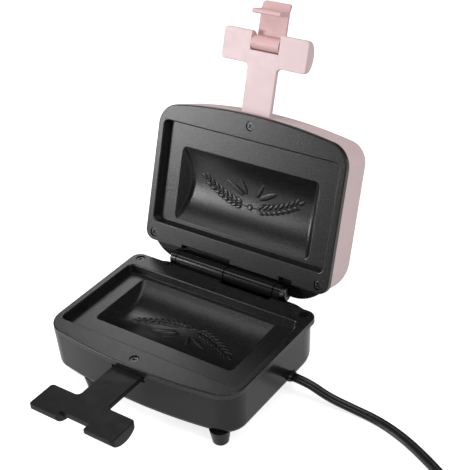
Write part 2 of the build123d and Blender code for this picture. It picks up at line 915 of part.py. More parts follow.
def cord_route():
    """Route of the free cord from the bushing over the floor to the coil."""
    _, outer, z = bushing_ends()
    floor = cord_thickness / 2 - face_z
    start = (outer, -cord_exit_y)
    steps = [
        (0.0, 0.0, z),
        (10.0, 0.0, z),
        (24.0, 1.2, z - 6.6),
        (40.0, 3.2, floor + 1.4),
        (57.0, 3.0, floor),
        (75.0, -2.0, floor),
        (94.0, -10.8, floor),
        (114.0, -22.4, floor),
        (131.0, -30.4, floor),
    ]
    return [(start[0] + dx, start[1] + dy, height) for dx, dy, height in steps]


def bend_radii(points):
    """Arc radii of a route: as large as each corner's shorter run allows."""
    radii = []
    for before, corner, after in zip(points, points[1:], points[2:]):
        first = Vector(*corner) - Vector(*before)
        second = Vector(*after) - Vector(*corner)
        turn = radians(first.get_angle(second))
        radii.append(0.45 * min(first.length, second.length) / tan(turn / 2))
    return radii


def coil_arcs():
    """Arcs of the coil: spiral in, climb one layer in a half turn, spiral out."""
    route = cord_route()
    end, before = Vector(*route[-1]), Vector(*route[-2])
    heading = Vector(end.X - before.X, end.Y - before.Y, 0).normalized()
    side = Vector(heading.Y, -heading.X, 0)
    start = end + heading * cord_width
    step = coil_pitch / 2
    inward = [coil_outer - step * count for count in range(coil_half_turns)]
    climb = inward[-1] - step
    radii = inward + [climb] + inward[:0:-1] + [coil_outer + coil_lead_out]
    arcs = [Line(end, start)]
    point, sign, height = start, 1, start.Z
    samples = []
    for index, radius in enumerate(radii):
        centre = point + side * (sign * radius)
        rise = coil_rise if index == coil_half_turns else 0.0
        wide = sqrt(radius**2 + rise**2 / 4)
        middle = centre + heading * (sign * wide) + Vector(0, 0, rise / 2)
        last = centre + side * (sign * radius) + Vector(0, 0, rise)
        arcs.append(ThreePointArc(point, middle, last))
        for tick in range(24):
            angle = pi * tick / 24
            spot = centre - side * (sign * radius * cos(angle)) + heading * (sign * wide * sin(angle))
            samples.append((spot.X, spot.Y, height + rise * (1 - cos(angle)) / 2))
        point, sign, height = last, -sign, height + rise
    tail = point + heading * (sign * cord_width)
    arcs.append(Line(point, tail))
    return arcs, tail, heading * sign, samples


def coil_gap(samples):
    """Least gap between turns, from points on the lead's centre line."""
    least = coil_outer
    for index, first in enumerate(samples):
        for second in samples[index + 12:]:
            across = sqrt((first[0] - second[0]) ** 2 + (first[1] - second[1]) ** 2)
            above = abs(first[2] - second[2])
            if above < cord_thickness:
                least = min(least, across - cord_width)
            elif across < cord_width:
                least = min(least, above - cord_thickness)
    return least


def swept_lead(path, start, heading):
    """Flat lead swept along a path, kept level."""
    level = Plane(origin=start, x_dir=Vector(0, 0, 1).cross(heading), z_dir=heading)
    return sweep(level * flat_section(cord_width, cord_thickness), path=path)


def cord():
    """Free stretch of the cord."""
    points = cord_route()
    radii = bend_radii(points)
    print("cord bend radii", [round(value, 1) for value in radii])
    path = FilletPolyline(*points, radius=radii)
    body = swept_lead(path, Vector(*points[0]), Vector(1, 0, 0))
    print("cord length", round(path.length, 1), "volume", round(body.volume, 1))
    return body, path.length


def coil():
    """Put-away length of the cord in two layers of flat turns."""
    arcs, tail, heading, samples = coil_arcs()
    path = Wire(arcs)
    start = arcs[0] @ 0
    body = swept_lead(path, start, arcs[0] % 0)
    print("coil length", round(path.length, 1), "volume", round(body.volume, 1))
    print("coil least gap", round(coil_gap(samples), 2))
    return body, path.length, tail, heading


def plug(tail, heading):
    """Moulded two-blade plug at the coil's end, lying on the same surface."""
    thickness = 2 * (tail.Z + face_z)
    along = Plane(origin=tail, x_dir=Vector(0, 0, 1).cross(heading), z_dir=heading)
    nose = loft(
        [
            along * flat_section(cord_width + 1.6, cord_thickness + 1.6),
            along.offset(plug_nose_length) * RectangleRounded(plug_width, thickness, thickness * 0.3),
        ],
        ruled=True,
    )
    body = nose + extrude(
        along.offset(plug_nose_length) * RectangleRounded(plug_width, thickness, thickness * 0.3),
        amount=plug_length - plug_nose_length,
    )
    blades = []
    for side in (-1, 1):
        place = along.offset(plug_length - blade_root) * Pos(side * blade_spacing / 2, 0, 0)
        blade = extrude(place * Rectangle(blade_thickness, blade_width), amount=blade_root + blade_length)
        body -= blade
        blades.append(blade)
    return body, blades


def flip(shape):
    """Turns a half over so that it faces the lower one, lid shut."""
    return Pos(0, 0, plate_gap) * mirror(shape, about=Plane.XY)


def opened(shape):
    """Swings a lid piece from shut to its open rest."""
    return shape.rotate(Axis((0, hinge_back, hinge_rise), (1, 0, 0)), -open_angle)


def lid_piece(shape):
    """Places a piece that was modelled as part of a lower half into the open lid."""
    return opened(flip(shape))


heating = heater()
shield = heat_shield()
ears_and_barrels = knuckle_spans()
screws = [plate_screw(x, y) for x, y in screw_places()]
lower_handle, lower_cover = handle_parts(True)
upper_handle, upper_cover = handle_parts(False)
cord_body, cord_length = cord()
coil_body, coil_length, coil_tail, coil_heading = coil()
plug_solid, plug_pins = plug(coil_tail, coil_heading)

nodes["base_shell"] = base_shell()
nodes["base_plate"] = plate([ears_and_barrels[0], ears_and_barrels[2]])
nodes["base_plate_screws"] = screws
nodes["lower_handle"] = handle_bore(lower_handle)
nodes["lower_handle_cover"] = lower_cover
nodes["foot_pads"] = feet_pads()
nodes["hinge_pin"] = hinge_pin()
nodes["hinge_nut"] = hinge_nut()
nodes["base_heater"] = heating
nodes["base_heat_shield"] = shield
nodes["thermostat"] = thermostat()
nodes["thermal_fuse"] = thermal_fuse()
nodes["terminal_block"] = terminal_block()
nodes["cord_clamp"] = cord_clamp()
nodes["base_wiring"] = base_wiring()
nodes["lid_shell"] = lid_piece(lid_shell())
nodes["lid_frame"] = lid_piece(lid_frame())
right_notch = (ears_and_barrels[3][0], ears_and_barrels[3][1] + pin_head_height)
nodes["lid_plate"] = lid_piece(plate([ears_and_barrels[1], right_notch]))
nodes["lid_plate_screws"] = [lid_piece(screw) for screw in screws]
nodes["upper_handle"] = lid_piece(handle_bore(upper_handle))
nodes["upper_handle_cover"] = lid_piece(upper_cover)
nodes["lid_heater"] = lid_piece(heating)
nodes["lid_heat_shield"] = lid_piece(shield)
nodes["lid_wiring"] = [lid_piece(lead) for lead in lid_wiring()]
nodes["lamp_lens"] = lid_piece(lamp_lens())
nodes["pilot_lamp"] = lid_piece(pilot_lamp())
nodes["latch_pin"] = lid_piece(latch_pin())
nodes["latch"] = lid_piece(latch())
nodes["cord_bushing"] = cord_bushing()
nodes["cord"] = cord_body
nodes["cord_coil"] = coil_body
nodes["plug_body"] = plug_solid
nodes["plug_blades"] = plug_pins

pieces = {name: shape if isinstance(shape, list) else [shape] for name, shape in nodes.items()}
measured = Compound([solid for name, group in pieces.items() if name not in cord_names
                     for shape in group for solid in shape.solids()])
bounds = measured.bounding_box()
shift = Vector(-(bounds.min.X + bounds.max.X) / 2, -(bounds.min.Y + bounds.max.Y) / 2, -bounds.min.Z)

os.makedirs("parts", exist_ok=True)
for name, group in pieces.items():
    moved = [solid.moved(Location(shift)) for shape in group for solid in shape.solids()]
    export_step(Compound(moved), f"parts/{name}.step")

print("size", [round(value, 2) for value in bounds.size])
print("shift", [round(value, 3) for value in shift])
print("hinge axis", round(hinge_back + shift.Y, 3), round(hinge_rise + shift.Z, 3))
latch_up = latch_axis_drop + hinge_rise
latch_out = latch_axis_y + hinge_back
swing = radians(open_angle)
latch_y = hinge_back - latch_out * cos(swing) + latch_up * sin(swing)
latch_z = hinge_rise + latch_out * sin(swing) + latch_up * cos(swing)
print("latch axis", round(latch_y + shift.Y, 3), round(latch_z + shift.Z, 3))
print("cord total", round(cord_length + coil_length, 1))
print("route", [[round(value, 2) for value in (Vector(*point) + shift)] for point in cord_route()])
print("coil start", [round(value, 2) for value in coil_tail + shift])
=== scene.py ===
# %% [markdown]
# # A pocket sandwich maker, dressed for its portrait
#
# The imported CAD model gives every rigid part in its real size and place. This lesson adds what
# the solids can't show: the speckled non-stick coating, the fine grain of moulded plastic, a
# flat twin cord with the groove between its cores, and the raised pattern in the cooking wells.
#
# Everything is in metres in the frame of the CAD: X runs along the hinge, Y goes to the back and
# Z is up, with the feet at zero. Each cell below can be run and checked on its own, from the top.

import json
import math

import bpy
import numpy as np
from mathutils import Matrix, Vector


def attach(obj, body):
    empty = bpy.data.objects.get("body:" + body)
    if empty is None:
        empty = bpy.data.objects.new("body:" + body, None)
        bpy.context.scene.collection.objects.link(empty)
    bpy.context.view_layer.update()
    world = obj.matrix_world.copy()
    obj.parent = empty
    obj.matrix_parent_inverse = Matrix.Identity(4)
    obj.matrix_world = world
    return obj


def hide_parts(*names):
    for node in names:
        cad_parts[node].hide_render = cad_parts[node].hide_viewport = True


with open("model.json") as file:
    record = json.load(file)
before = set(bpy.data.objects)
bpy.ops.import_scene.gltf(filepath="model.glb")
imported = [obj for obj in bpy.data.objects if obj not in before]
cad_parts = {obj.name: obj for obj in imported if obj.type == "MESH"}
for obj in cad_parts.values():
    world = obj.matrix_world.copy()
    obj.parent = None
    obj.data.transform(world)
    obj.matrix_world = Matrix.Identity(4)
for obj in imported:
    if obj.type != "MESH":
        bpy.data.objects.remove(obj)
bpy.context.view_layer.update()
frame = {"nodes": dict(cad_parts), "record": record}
nodes = frame["nodes"]

# %% [markdown]
# ## Two flat working planes
#
# Each half of the maker is drawn flat, as if the plate lay face up at height zero with its back
# edge at y = 0. `base_place` moves such points onto the lower half. `lid_place` turns them over,
# leaves the closed gap between the plates and swings them open about the hinge, so the same
# pattern can be laid in both wells. Where the two halves stand is read from the lid's hinge in the
# frame, so the dressing follows the solids if they move.

# %% Places on the two halves
MM = 0.001
HINGE_BACK = 6.5
HINGE_RISE = 1.0
joints = frame["record"]["behaviour"]["joints"]
lid_hinge = next(joint for joint in joints if joint["name"] == "lid_hinge")
SHIFT = np.array(lid_hinge["pos_m"]) / MM - [0.0, HINGE_BACK, HINGE_RISE]
PLATE_GAP = 2.0
OPEN_ANGLE = math.radians(109.0)
HANDLE_END = [0.0, -154.0, -4.4]


def base_place(points):
    """Flat points in mm, shape (..., 3), moved onto the lower half, in metres."""
    return (np.asarray(points, float) + SHIFT) * MM


def lid_place(points):
    """Flat points turned over, raised by the plate gap and swung back about the hinge line."""
    flat = np.asarray(points, float)
    y = flat[..., 1] - HINGE_BACK
    z = PLATE_GAP - flat[..., 2] - HINGE_RISE
    cos, sin = math.cos(OPEN_ANGLE), math.sin(OPEN_ANGLE)
    turned = np.stack([flat[..., 0], y * cos + z * sin, z * cos - y * sin], axis=-1)
    return (turned + np.array([0.0, HINGE_BACK, HINGE_RISE]) + SHIFT) * MM


print("flat planes moved by", SHIFT.round(3), "mm")
print("lid handle ends at", lid_place(HANDLE_END).round(4))

# %% [markdown]
# ## The camera
#
# A long lens looks down at the front right corner. The camera is placed by azimuth, elevation
# and distance from a spot near the hinge side of the lower plate, then slid a little sideways and
# rolled, because the photograph isn't level. A camera set by eye would leave every piece a few
# pixels off, so these values were fitted to points and edges in the picture.

# %% Camera
AZIMUTH = math.radians(36.13)
ELEVATION = math.radians(32.03)
ROLL = math.radians(-3.69)
DISTANCE = 695.73
SLIDE = (7.73, 30.45)
FOCAL_PIXELS = 1049.17
IMAGE_PIXELS = 470

back = np.array([
    math.sin(AZIMUTH) * math.cos(ELEVATION),
    -math.cos(AZIMUTH) * math.cos(ELEVATION),
    math.sin(ELEVATION),
])
level = np.array([math.cos(AZIMUTH), math.sin(AZIMUTH), 0.0])
upward = np.cross(back, level)
right = level * math.cos(ROLL) + upward * math.sin(ROLL)
up = upward * math.cos(ROLL) - level * math.sin(ROLL)
eye = (back * DISTANCE + right * SLIDE[0] + up * SLIDE[1] + SHIFT) * MM

camera_data = bpy.data.cameras.new("camera")
camera_data.sensor_width = 36.0
camera_data.lens = FOCAL_PIXELS / IMAGE_PIXELS * camera_data.sensor_width
camera_data.clip_start = 0.01
camera = bpy.data.objects.new("camera", camera_data)
pose = Matrix.Identity(4)
for axis in range(3):
    pose[axis] = right[axis], up[axis], back[axis], eye[axis]
camera.matrix_world = pose
bpy.context.scene.collection.objects.link(camera)
bpy.context.scene.camera = camera
print("camera at", eye.round(4), "lens", round(camera_data.lens, 2), "mm")

# %% [markdown]
# ## Shapes from formulas
#
# New pieces are grids of points worked out with numpy. Joining a grid into faces takes no loop over
# its points: the four corners of all faces are four shifted copies of the grid of point numbers.
# Points could also be placed with modelling operators, but an array can be checked and changed.

# %% Mesh helpers


def smooth_piece(name, points, faces):
    """Smooth-shaded object from an array of points and a list of faces, in the scene."""
    mesh = bpy.data.meshes.new(name)
    mesh.from_pydata(points.reshape(-1, 3).tolist(), [], faces)
    mesh.polygons.foreach_set("use_smooth", np.ones(len(mesh.polygons), bool))
    mesh.update()
    piece = bpy.data.objects.new(name, mesh)
    bpy.context.scene.collection.objects.link(piece)
    return piece


def tube_piece(name, rings):
    """Tube from closed rings of points, shape (rings, points, 3), with a cap at both ends."""
    rows, columns = rings.shape[:2]
    index = np.arange(rows * columns).reshape(rows, columns)
    first_cap = index[0, ::-1].tolist()
    last_cap = index[-1].tolist()
    index = np.hstack([index, index[:, :1]])
    corners = (index[:-1, :-1], index[:-1, 1:], index[1:, 1:], index[1:, :-1])
    quads = np.stack(corners, axis=-1).reshape(-1, 4)
    return smooth_piece(name, rings, quads.tolist() + [first_cap, last_cap])


print("mesh helpers are ready")

# %% [markdown]
# ## The power cord
#
# The cord leaves the right wall, drops to the table and runs to a neat coil outside the picture.
# Its line is one smooth spline, because a lead bends evenly and has no corners. The first points
# are given one by one, in mm. The coil is a chain of half turns: each is a little smaller than the
# one before on the way in, one half turn climbs a layer, and the rest wind out again on top.

# %% Cord route
ROUTE = [
    (73.7, 4.48, 13.4),
    (83.7, 4.48, 13.4),
    (97.7, 5.68, 6.8),
    (113.7, 7.68, 3.1),
    (130.7, 7.48, 1.7),
    (148.7, 2.48, 1.7),
    (167.7, -6.32, 1.7),
    (187.7, -17.92, 1.7),
    (204.7, -25.92, 1.7),
]
CORD_WIDTH = 6.6
CORD_THICKNESS = 3.4
COIL_OUTER = 44.0
COIL_PITCH = 7.4
COIL_RISE = 4.0
COIL_HALF_TURNS = 4
COIL_LEAD_OUT = 8.4
STEPS_PER_HALF_TURN = 7


def coil_points():
    """Control points of the coil: half turns whose centres swap sides, one of them climbing.

    A control point stands off its circle by one over the cosine of half a step, so that the
    spline touches the circle halfway between two of them.
    """
    end, before = np.array(ROUTE[-1]), np.array(ROUTE[-2])
    heading = (end - before) * [1, 1, 0]
    heading /= np.linalg.norm(heading)
    side = np.array([heading[1], -heading[0], 0.0])
    inward = [COIL_OUTER - COIL_PITCH / 2 * count for count in range(COIL_HALF_TURNS)]
    radii = inward + [inward[-1] - COIL_PITCH / 2] + inward[:0:-1] + [COIL_OUTER + COIL_LEAD_OUT]
    step = math.pi / STEPS_PER_HALF_TURN
    angles = (np.arange(STEPS_PER_HALF_TURN) + 0.5) * step
    point, sign, height = end + heading * CORD_WIDTH, 1, 0.0
    turns = []
    for count, radius in enumerate(radii):
        rise = COIL_RISE if count == COIL_HALF_TURNS else 0.0
        centre = point + side * (sign * radius)
        reach = radius / math.cos(step / 2)
        arc = centre - side * (sign * reach) * np.cos(angles)[:, None]
        arc = arc + heading * (sign * reach) * np.sin(angles)[:, None]
        arc[:, 2] += rise * (1 - np.cos(angles)) / 2
        turns.append(arc)
        point = centre + side * (sign * radius) + [0, 0, rise]
        sign = -sign
    return np.vstack(turns + [point + heading * (sign * CORD_WIDTH)])


route = np.vstack([ROUTE, coil_points()]) * MM
print(len(ROUTE), "points by hand and", len(route) - len(ROUTE), "of the coil")

# %% [markdown]
# Blender's own spline turns the control points into the smooth line. The order of the spline is
# set after its points, and its ends are held, so that the line starts at the wall. The curve is
# read back as points, which the skin follows, and is then removed.

# %% Cord line


def smooth_line(points):
    """Points along a quadratic NURBS spline that starts and ends on its first and last point."""
    line = bpy.data.curves.new("cord_line", "CURVE")
    line.dimensions = "3D"
    spline = line.splines.new("NURBS")
    spline.points.add(len(points) - 1)
    spline.points.foreach_set("co", np.hstack([points, np.ones((len(points), 1))]).ravel())
    spline.order_u = 3
    spline.use_endpoint_u = True
    spline.resolution_u = 6
    holder = bpy.data.objects.new("cord_line", line)
    bpy.context.scene.collection.objects.link(holder)
    bpy.context.view_layer.update()
    read_back = bpy.data.meshes.new_from_object(holder)
    found = np.empty(len(read_back.vertices) * 3)
    read_back.vertices.foreach_get("co", found)
    bpy.data.objects.remove(holder)
    bpy.data.meshes.remove(read_back)
    return found.reshape(-1, 3)


path = smooth_line(route)

# %% [markdown]
# The section of a flat twin lead is two round cores side by side with a groove between them. It
# is carried along the line with its wide side kept level, as a lead lies on a table. A bevelled
# curve could carry a round section, but it would not keep the flat side down in the coil.

# %% Cord skin
GROOVE_HALF_WIDTH = 0.45
GROOVE_DEPTH = 0.18
CORE_STEPS = 14


def twin_section():
    """Closed outline of two overlapping circles with a groove above and below: (across, up) in mm."""
    radius = CORD_THICKNESS / 2
    centre = CORD_WIDTH / 2 - radius
    limit = math.acos((GROOVE_HALF_WIDTH - centre) / radius)
    angle = np.linspace(-limit, limit, CORE_STEPS)
    lobe = np.stack([centre + radius * np.cos(angle), radius * np.sin(angle)], axis=1)
    groove = np.array([[0.0, radius * math.sin(limit) - GROOVE_DEPTH]])
    return np.vstack([lobe, groove, -lobe, -groove])


tangent = np.gradient(path, axis=0)
tangent /= np.linalg.norm(tangent, axis=1, keepdims=True)
across = np.cross([0.0, 0.0, 1.0], tangent)
across /= np.linalg.norm(across, axis=1, keepdims=True)
over = np.cross(tangent, across)
section = twin_section() * MM
skin = path[:, None] + across[:, None] * section[None, :, :1] + over[:, None] * section[None, :, 1:]
cord = tube_piece("power_cord", skin)
print("cord skin:", len(cord.data.vertices), "points")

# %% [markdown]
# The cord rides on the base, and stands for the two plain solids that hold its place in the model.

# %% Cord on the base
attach(cord, "base")
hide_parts("cord", "cord_coil")

# %% [markdown]
# ## Materials
#
# Each material is a small tree of nodes. Noise in the object's own coordinates gives fine grain,
# so the grain stays put when a part moves. An image could hold the grain too, but it would need a
# flat layout of every surface. Numbers that are the same all over go straight on the shader.

# %% Material helpers
NOISE_FLOOR, NOISE_CEILING = 0.35, 0.65


def shader(name, color, roughness, **sockets):
    """New material, its tree and its shader, with colour, roughness and other constants set."""
    material = bpy.data.materials.new(name)
    material.use_nodes = True
    tree = material.node_tree
    surface = tree.nodes["Principled BSDF"]
    surface.inputs["Base Color"].default_value = (*color, 1.0)
    surface.inputs["Roughness"].default_value = roughness
    for socket, value in sockets.items():
        surface.inputs[socket.replace("_", " ")].default_value = value
    return material, tree, surface


def noise(tree, scale, detail=3.0):
    """Noise texture in object coordinates, its scale in features per metre."""
    place = tree.nodes.new("ShaderNodeTexCoord")
    texture = tree.nodes.new("ShaderNodeTexNoise")
    texture.inputs["Scale"].default_value = scale
    texture.inputs["Detail"].default_value = detail
    texture.inputs["Roughness"].default_value = 0.5
    tree.links.new(place.outputs["Object"], texture.inputs["Vector"])
    return texture.outputs["Fac"]


def spread(tree, value, low, high, floor=NOISE_FLOOR, ceiling=NOISE_CEILING):
    """Maps a value from floor..ceiling, by default a noise's usual range, to low..high."""
    scale = tree.nodes.new("ShaderNodeMapRange")
    scale.inputs["From Min"].default_value = floor
    scale.inputs["From Max"].default_value = ceiling
    scale.inputs["To Min"].default_value = low
    scale.inputs["To Max"].default_value = high
    tree.links.new(value, scale.inputs["Value"])
    return scale.outputs["Result"]


def grain(tree, surface, scale, depth):
    """Fine bump: depth in metres between the grain's hills and valleys."""
    bump = tree.nodes.new("ShaderNodeBump")
    bump.inputs["Distance"].default_value = depth
    bump.inputs["Strength"].default_value = 1.0
    tree.links.new(noise(tree, scale), bump.inputs["Height"])
    tree.links.new(bump.outputs["Normal"], surface.inputs["Normal"])


def tint(tree, surface, factor, first, second):
    """Base colour mixed between two colours by a factor."""
    mix = tree.nodes.new("ShaderNodeMix")
    mix.data_type = "RGBA"
    mix.inputs["A"].default_value = (*first, 1.0)
    mix.inputs["B"].default_value = (*second, 1.0)
    tree.links.new(factor, mix.inputs["Factor"])
    tree.links.new(mix.outputs["Result"], surface.inputs["Base Color"])


print("node helpers are ready")

# %% [markdown]
# ## Moulded plastic
#
# The housings, handles and plug come out of steel moulds whose walls have a fine spark-eroded
# grain. A slow cloud shifts the colour a little, and smaller patches make the gloss uneven, as
# where a mould wears. One flat colour would be simpler, but it looks like paint on a screen.
# `gloss` is the strength of the mirror-like part of the reflection. Rubber, vinyl, ceramic and
# woven sleeve follow the same recipe with a coarser grain.

# %% Moulded plastic
CLOUD_SCALE, CLOUD_DETAIL = 35.0, 4.0
PATCH_SCALE, PATCH_DETAIL = 180.0, 5.0
PATCH_SHARE = 0.12


def moulded(name, color, roughness, grain_scale=2600.0, grain_depth=0.00003, drift=0.04, gloss=0.5):
    """Moulded plastic: fine grain, colour from 1 - drift to 1 + drift, and patches of gloss."""
    material, tree, surface = shader(name, color, roughness, Specular_IOR_Level=gloss)
    darker = tuple(channel * (1 - drift) for channel in color)
    lighter = tuple(min(channel * (1 + drift), 1.0) for channel in color)
    cloud = noise(tree, CLOUD_SCALE, CLOUD_DETAIL)
    tint(tree, surface, spread(tree, cloud, 0.0, 1.0), darker, lighter)
    patches = noise(tree, PATCH_SCALE, PATCH_DETAIL)
    uneven = spread(tree, patches, roughness * (1 - PATCH_SHARE), roughness * (1 + PATCH_SHARE))
    tree.links.new(uneven, surface.inputs["Roughness"])
    grain(tree, surface, grain_scale, grain_depth)
    return material


pink = moulded("pink_plastic", (0.74, 0.56, 0.57), 0.42, drift=0.015)
pink_latch = moulded("pink_latch_plastic", (0.7, 0.45, 0.445), 0.4, drift=0.015)
housing = moulded("black_housing_plastic", (0.0085, 0.008, 0.0085), 0.18, grain_depth=0.000006, gloss=0.3)
grip = moulded("black_grip_plastic", (0.010, 0.010, 0.0105), 0.42, grain_depth=0.00002, gloss=0.22)
rubber = moulded("foot_rubber", (0.03, 0.03, 0.03), 0.8, 1200.0, 0.00006)
vinyl = moulded("cord_vinyl", (0.014, 0.014, 0.015), 0.36, 900.0, 0.00002)
ceramic = moulded("white_ceramic", (0.8, 0.78, 0.72), 0.25, 500.0, 0.00002)
sleeve = moulded("woven_sleeve", (0.7, 0.66, 0.55), 0.75, 1500.0, 0.0001)
print("moulded finishes are ready")

# %% [markdown]
# ## The non-stick coating
#
# The plates are cast, then sprayed with a dark coating that dries in tiny beads. Each bead shows
# as a faint pale fleck in one cell of a cell texture: plain noise gives clouds, not separate
# specks. A fine bump breaks the reflections, so that the sheen of the lamps ends softly. The plain
# colour on the shader is for a viewer that can't mix the flecks.

# %% Non-stick coating
COATING_PLAIN = (0.014, 0.014, 0.015)
COATING_DARK = (0.005, 0.005, 0.0053)
COATING_FLECK = (0.036, 0.036, 0.038)
COATING_GRAIN, COATING_GRAIN_DEPTH = 1100.0, 0.00009
FLECK_SCALE = 1000.0
FLECK_CORE, FLECK_EDGE = 0.15, 0.4


def non_stick(name):
    """Dark sprayed coating: pale flecks, strongest at the middle of each cell, over an even grain."""
    material, tree, surface = shader(name, COATING_PLAIN, 0.3, Specular_IOR_Level=0.5)
    place = tree.nodes.new("ShaderNodeTexCoord")
    cells = tree.nodes.new("ShaderNodeTexVoronoi")
    cells.inputs["Scale"].default_value = FLECK_SCALE
    tree.links.new(place.outputs["Object"], cells.inputs["Vector"])
    fleck = spread(tree, cells.outputs["Distance"], 1.0, 0.0, FLECK_CORE, FLECK_EDGE)
    tint(tree, surface, fleck, COATING_DARK, COATING_FLECK)
    grain(tree, surface, COATING_GRAIN, COATING_GRAIN_DEPTH)
    return material


coating = non_stick("speckled_coating")
print("coating is ready")

# %% [markdown]
# ## Metals and clear parts
#
# Screws, pins, shields and blades are metals with an uneven polish. Scratches could be drawn one
# by one, but at this size a fine change of gloss reads the same. The lens and the lamp let light
# through. Most of these lie inside the housings and show only when the part is taken apart.

# %% Metals and clear parts
POLISH_SCALE, POLISH_DETAIL = 400.0, 5.0
POLISH_LOW, POLISH_HIGH = 0.8, 1.25
METAL_GRAIN, METAL_GRAIN_DEPTH = 900.0, 0.00001


def metal(name, color, roughness):
    """Plain metal with a fine uneven polish."""
    material, tree, surface = shader(name, color, roughness, Metallic=1.0)
    polish = noise(tree, POLISH_SCALE, POLISH_DETAIL)
    uneven = spread(tree, polish, roughness * POLISH_LOW, roughness * POLISH_HIGH)
    tree.links.new(uneven, surface.inputs["Roughness"])
    grain(tree, surface, METAL_GRAIN, METAL_GRAIN_DEPTH)
    return material


screw_steel = metal("black_screw_steel", (0.07, 0.07, 0.075), 0.28)
steel = metal("plain_steel", (0.55, 0.55, 0.57), 0.3)
sheet = metal("aluminised_sheet", (0.7, 0.7, 0.72), 0.35)
tube_steel = metal("annealed_tube_steel", (0.2, 0.22, 0.19), 0.45)
brass = metal("plated_brass", (0.72, 0.66, 0.52), 0.25)
lens, _, _ = shader("red_lens", (0.5, 0.02, 0.015), 0.12, Transmission_Weight=0.7)
lamp_glass, _, _ = shader("lamp_glass", (0.95, 0.9, 0.8), 0.05, Transmission_Weight=0.95)
print("metals and clear parts are ready")

# %% [markdown]
# ## Dressing the solids
#
# Every solid of the model gets the finish of its real piece. The solids themselves stay as they
# are: only the materials in their slots change.

# %% Dress the nodes
DRESS = {
    "lid_shell": pink,
    "upper_handle": pink,
    "upper_handle_cover": pink,
    "latch": pink_latch,
    "base_shell": housing,
    "lid_frame": housing,
    "lower_handle": grip,
    "lower_handle_cover": grip,
    "cord_clamp": grip,
    "base_plate": coating,
    "lid_plate": coating,
    "base_plate_screws": screw_steel,
    "lid_plate_screws": screw_steel,
    "hinge_pin": screw_steel,
    "hinge_nut": steel,
    "latch_pin": steel,
    "base_heater": tube_steel,
    "lid_heater": tube_steel,
    "base_heat_shield": sheet,
    "lid_heat_shield": sheet,
    "thermostat": ceramic,
    "terminal_block": ceramic,
    "thermal_fuse": sleeve,
    "base_wiring": sleeve,
    "lid_wiring": sleeve,
    "foot_pads": rubber,
    "lamp_lens": lens,
    "pilot_lamp": lamp_glass,
    "cord_bushing": vinyl,
    "plug_body": vinyl,
    "plug_blades": brass,
}


def wear(piece, material):
    """Gives one material to every slot of a piece."""
    slots = piece.material_slots
    if not slots:
        piece.data.materials.append(material)
        return
    for slot in slots:
        slot.material = material


for node_name, material in DRESS.items():
    wear(nodes[node_name], material)
wear(cord, vinyl)
print(len(DRESS), "nodes dressed")

# %% [markdown]
# ## The raised pattern in the wells
#
# The floor of each trough is part of a lying cylinder, and carries a raised sprig of wheat. Its
# grains, stem and leaves are laid out flat as one list of almond shapes, then dropped onto the
# cylinder with a soft crown, so that they read as cast in. They are geometry and not a bump, so
# that they keep their shape at the edge of a highlight and in an exported mesh.

# %% Trough floor
WELL_DEPTH = 5.5
TROUGH_DEPTH = 9.0
TROUGH_HALF_SPAN = 25.6
TROUGH_MIDDLE = -43.6
TROUGH_RADIUS = (TROUGH_HALF_SPAN**2 + TROUGH_DEPTH**2) / (2 * TROUGH_DEPTH)
TROUGH_CENTRE = TROUGH_RADIUS - WELL_DEPTH - TROUGH_DEPTH


def trough_height(y):
    """Height of the trough's floor at a flat y: the lower side of a circle across the trough."""
    return TROUGH_CENTRE - np.sqrt(TROUGH_RADIUS**2 - (y - TROUGH_MIDDLE) ** 2)


deepest = trough_height(TROUGH_MIDDLE)
print("trough radius", round(TROUGH_RADIUS, 2), "mm, deepest at", round(deepest, 2), "mm")

# %% [markdown]
# One almond is a grid: its width follows half an ellipse from point to point and is a little
# fuller at its foot, and its height follows half an ellipse across. All almonds of the sprig are
# worked out at once, as one array. Their rims sink a little below the floor, so no gap shows.

# %% Almond shapes
ALMOND_ROWS, ALMOND_COLUMNS = 15, 9
ALMOND_FULLNESS = 0.25
ALMOND_CROWN = 0.75
RIM_SINK = 0.12


def almonds(layout):
    """Domed almonds on the trough's floor, from layout rows of x, y, angle, length and width.

    With `along` and `side` running from -1 to 1, the taper is the root of one minus along
    squared, times one less a quarter of along, and the crown is the root of one minus side
    squared. Returns flat points in mm, shape (almonds, rows, columns, 3).
    """
    x, y, angle, length, width = (column[:, None, None] for column in layout.T)
    along = np.linspace(-1, 1, ALMOND_ROWS)[None, :, None]
    side = np.linspace(-1, 1, ALMOND_COLUMNS)[None, None, :]
    taper = np.sqrt(np.clip(1 - along**2, 0, 1)) * (1 - ALMOND_FULLNESS * along)
    local_x = along * length / 2 + 0 * side
    local_y = side * taper * width / 2
    height = ALMOND_CROWN * np.sqrt(np.clip(1 - side**2, 0, 1)) * np.clip(taper, 0, 1) - RIM_SINK
    cos, sin = np.cos(angle), np.sin(angle)
    flat_x = x + local_x * cos - local_y * sin
    flat_y = y + local_x * sin + local_y * cos
    return np.stack([flat_x, flat_y, trough_height(flat_y) + height], axis=-1)


print("an almond has", ALMOND_ROWS * ALMOND_COLUMNS, "points")

# %% [markdown]
# The sprig is two ears of wheat that meet at a bead. Each ear bows along a parabola: grains stand
# in two rows beside the stem, one closes the tip, and two leaves grow near the middle. Only the
# right ear is laid out, and the left one is its mirror image.

